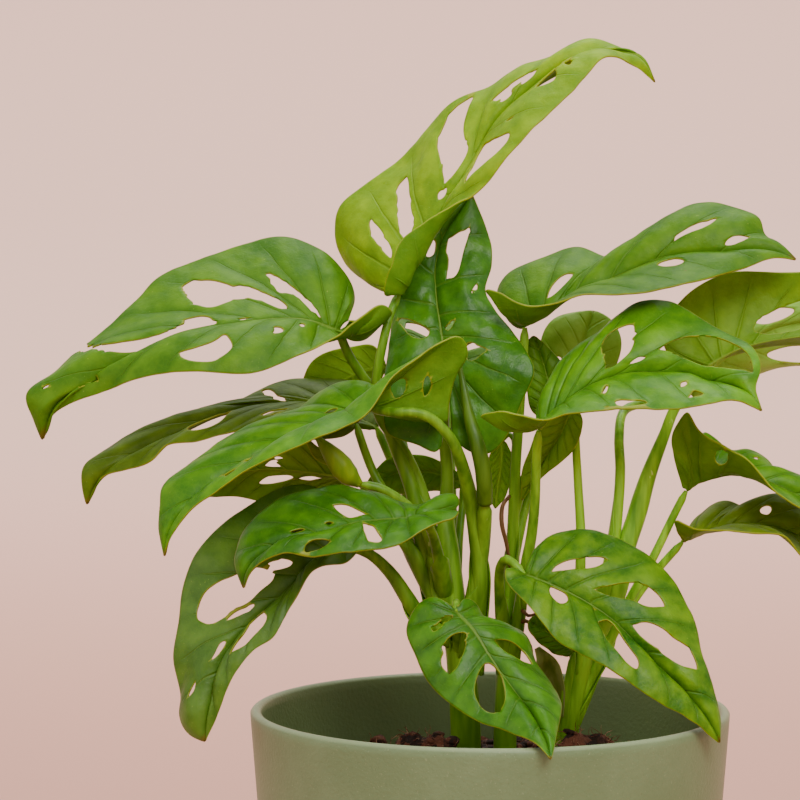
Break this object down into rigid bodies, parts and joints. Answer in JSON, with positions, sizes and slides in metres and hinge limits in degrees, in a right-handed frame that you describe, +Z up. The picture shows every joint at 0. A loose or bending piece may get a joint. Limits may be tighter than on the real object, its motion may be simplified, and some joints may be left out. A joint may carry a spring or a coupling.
{
  "type": "potted monstera plant",
  "caption": "Young trailing monstera with heart-shaped leaves full of oval holes, growing from soil in a round satin sage-green ceramic pot.",
  "frame": {"origin": "middle of the flat underside of the pot", "axes": "+Z up along the pot's axis; +X to the right and +Y away from someone who looks at the plant's front"},
  "size_m": [0.2603, 0.1735, 0.3245],
  "materials": {
    "leaf": "satin to glossy living leaf, paler olive underneath",
    "spear": "rolled new leaf, green with a brown tip",
    "dry_sheath": "dry papery sheath",
    "stem": "smooth satin green stem",
    "soil": "moist coir potting mix",
    "pot": "satin sage-green glaze with fine speckles"
  },
  "bodies": {
    "root": {"leaf_far_left": "leaf", "leaf_top": "leaf", "leaf_centre": "leaf", "leaf_upper_right": "leaf", "leaf_right_bright": "leaf", "leaf_far_right": "leaf", "leaf_left_back": "leaf", "leaf_left_front": "leaf", "leaf_left_under": "leaf", "leaf_front_shiny": "leaf", "leaf_lower_left": "leaf", "leaf_low_front": "leaf", "leaf_low_right": "leaf", "leaf_right_folded": "leaf", "leaf_right_low": "leaf", "leaf_behind_top": "leaf", "leaf_pale_back": "leaf", "leaf_small_dark": "leaf", "leaf_behind_stems": "leaf", "leaf_small_hanging": "leaf", "leaf_wet_hanging": "leaf", "leaf_low_under": "leaf", "leaf_back_right": "leaf", "leaf_back_high": "leaf", "leaf_back_low": "leaf", "leaf_back_left": "leaf", "leaf_furled": "leaf", "leaf_spear": "spear", "sheath_dry": "dry_sheath", "stem_left": "stem", "stem_middle": "stem", "stem_right": "stem", "soil": "soil", "pot": "pot"}
  },
  "joints": []
}
